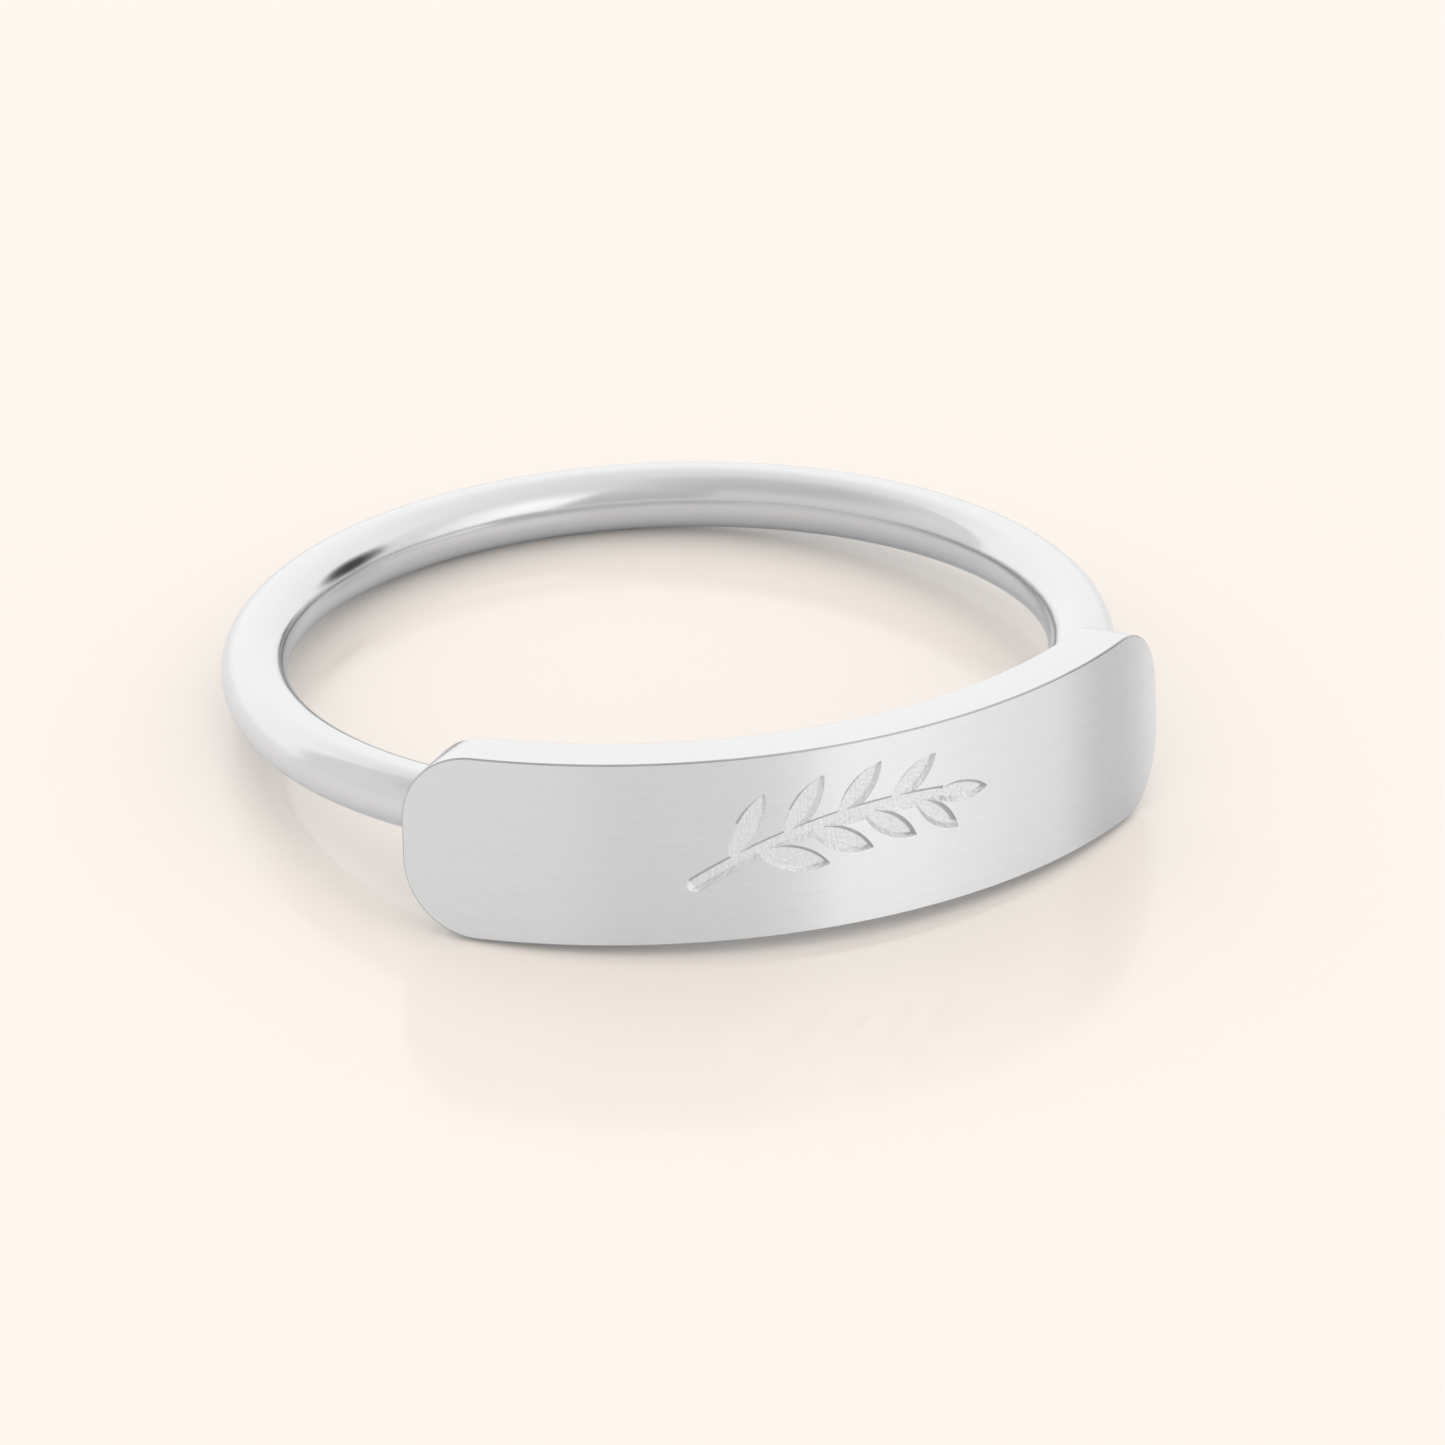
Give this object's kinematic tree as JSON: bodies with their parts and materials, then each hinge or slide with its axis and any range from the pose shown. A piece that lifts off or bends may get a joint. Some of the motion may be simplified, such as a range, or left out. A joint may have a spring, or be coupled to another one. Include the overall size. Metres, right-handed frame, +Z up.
{
  "type": "bar ring",
  "caption": "Finger ring of round wire with a curved rectangular bar across its front, engraved with a small leafy sprig, lying on its side.",
  "frame": {"origin": "centre of the outer box, on the surface the ring lies on", "axes": "+Z up from the surface, 4.9 degrees off the ring's own axis; -Y towards the front of the bar; +X along the bar"},
  "size_m": [0.0204, 0.0214, 0.0047],
  "materials": {
    "silver": "sterling silver, finely brushed bar face, satin-polished wire and edges"
  },
  "bodies": {
    "root": {"bar_ring": "silver"}
  },
  "joints": []
}
